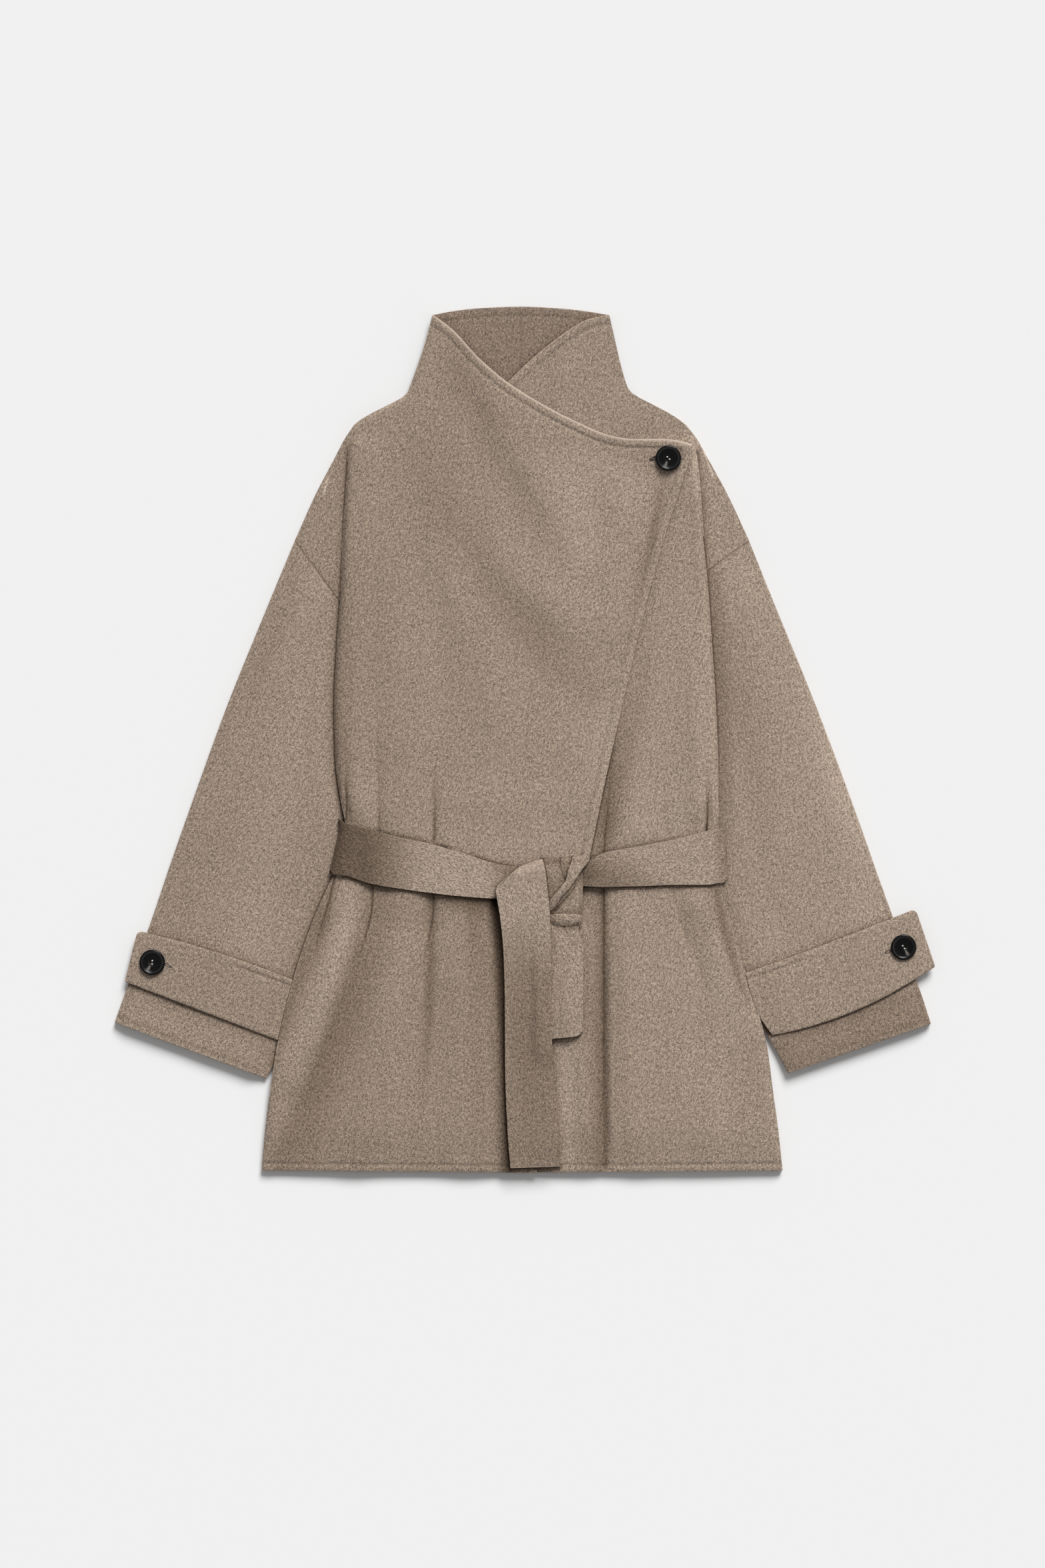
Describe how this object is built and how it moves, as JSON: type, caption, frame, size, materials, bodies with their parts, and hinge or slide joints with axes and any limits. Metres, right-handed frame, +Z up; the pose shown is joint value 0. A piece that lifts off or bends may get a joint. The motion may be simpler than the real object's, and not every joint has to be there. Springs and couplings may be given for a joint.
{
  "type": "belted wrap coat",
  "caption": "Short belted wool wrap coat laid flat with its front up: funnel collar, crossover front buttoned at the shoulder, wide sleeves with buttoned cuff tabs and a knotted tie belt.",
  "frame": {"origin": "middle of the bounding box in plan, on the surface the coat lies on", "axes": "+X to the wearer's left, +Y from the hem to the collar, +Z up from the surface, out of the coat's front"},
  "size_m": [0.8, 0.846, 0.0293],
  "materials": {
    "wool": "brushed double-faced wool, taupe melange",
    "wool_inside": "inner face of the same double-faced wool",
    "button_black": "polished black"
  },
  "bodies": {
    "root": {"back": "wool", "front_right": "wool", "front_left": "wool", "sleeve_right_front": "wool", "sleeve_right_back": "wool", "sleeve_left_front": "wool", "sleeve_left_back": "wool", "cuff_tab_right": "wool", "cuff_tab_left": "wool", "belt_back": "wool", "belt_front_right": "wool", "belt_front_left": "wool", "belt_knot": "wool", "belt_tail_long": "wool", "belt_tail_short": "wool", "collar_back_right": "wool_inside", "collar_back_left": "wool_inside", "button_shoulder": "button_black", "button_cuff_right": "button_black", "button_cuff_left": "button_black"}
  },
  "joints": []
}
